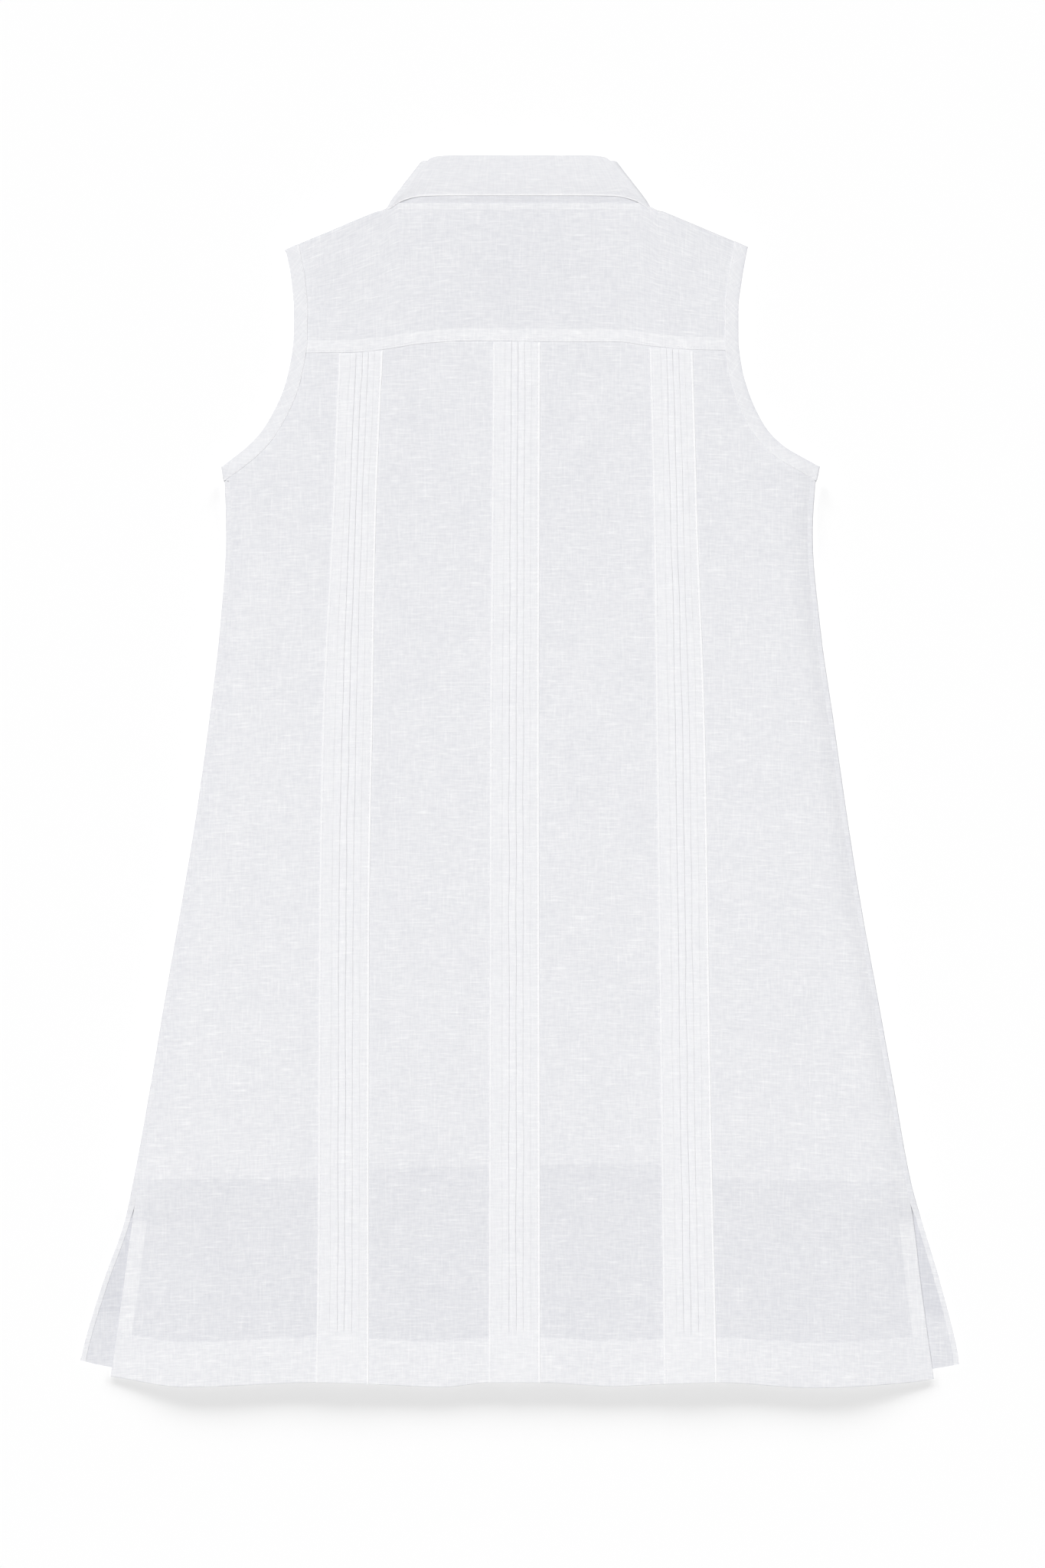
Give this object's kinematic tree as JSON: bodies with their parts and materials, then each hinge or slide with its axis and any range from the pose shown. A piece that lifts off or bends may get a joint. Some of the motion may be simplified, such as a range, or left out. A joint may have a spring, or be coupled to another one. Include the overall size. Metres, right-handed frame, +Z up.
{
  "type": "guayabera dress",
  "caption": "Sleeveless A-line linen dress laid flat on its front, with collar, back yoke, applied tucked bands, bound armholes and side vents.",
  "frame": {"origin": "under the middle of the laid-out dress, on the surface that it lies on", "axes": "+Y from hem to collar, +X to the right seen from above with the collar at the top, +Z up out of the back; the front's outer face lies on z = 0"},
  "size_m": [0.69, 0.9649, 0.009],
  "materials": {
    "linen": "washed white slubbed linen, slightly sheer, plain woven",
    "linen_doubled": "the same linen in two layers, whiter and denser",
    "lining": "fine white cotton voile, matt",
    "button_shell": "pearly white shell, polished"
  },
  "bodies": {
    "root": {"back_panel": "linen", "yoke": "linen", "front_left": "linen", "front_right": "linen", "lining_back": "lining", "tuck_band_left": "linen_doubled", "tuck_band_centre": "linen_doubled", "tuck_band_right": "linen_doubled", "collar_fall": "linen_doubled", "collar_stand": "linen_doubled", "armhole_binding_left": "linen_doubled", "armhole_binding_right": "linen_doubled", "placket_outer": "linen_doubled", "placket_under": "linen_doubled", "button_1": "button_shell", "button_2": "button_shell", "button_3": "button_shell", "button_4": "button_shell", "button_5": "button_shell", "button_6": "button_shell", "button_7": "button_shell", "button_8": "button_shell"}
  },
  "joints": []
}
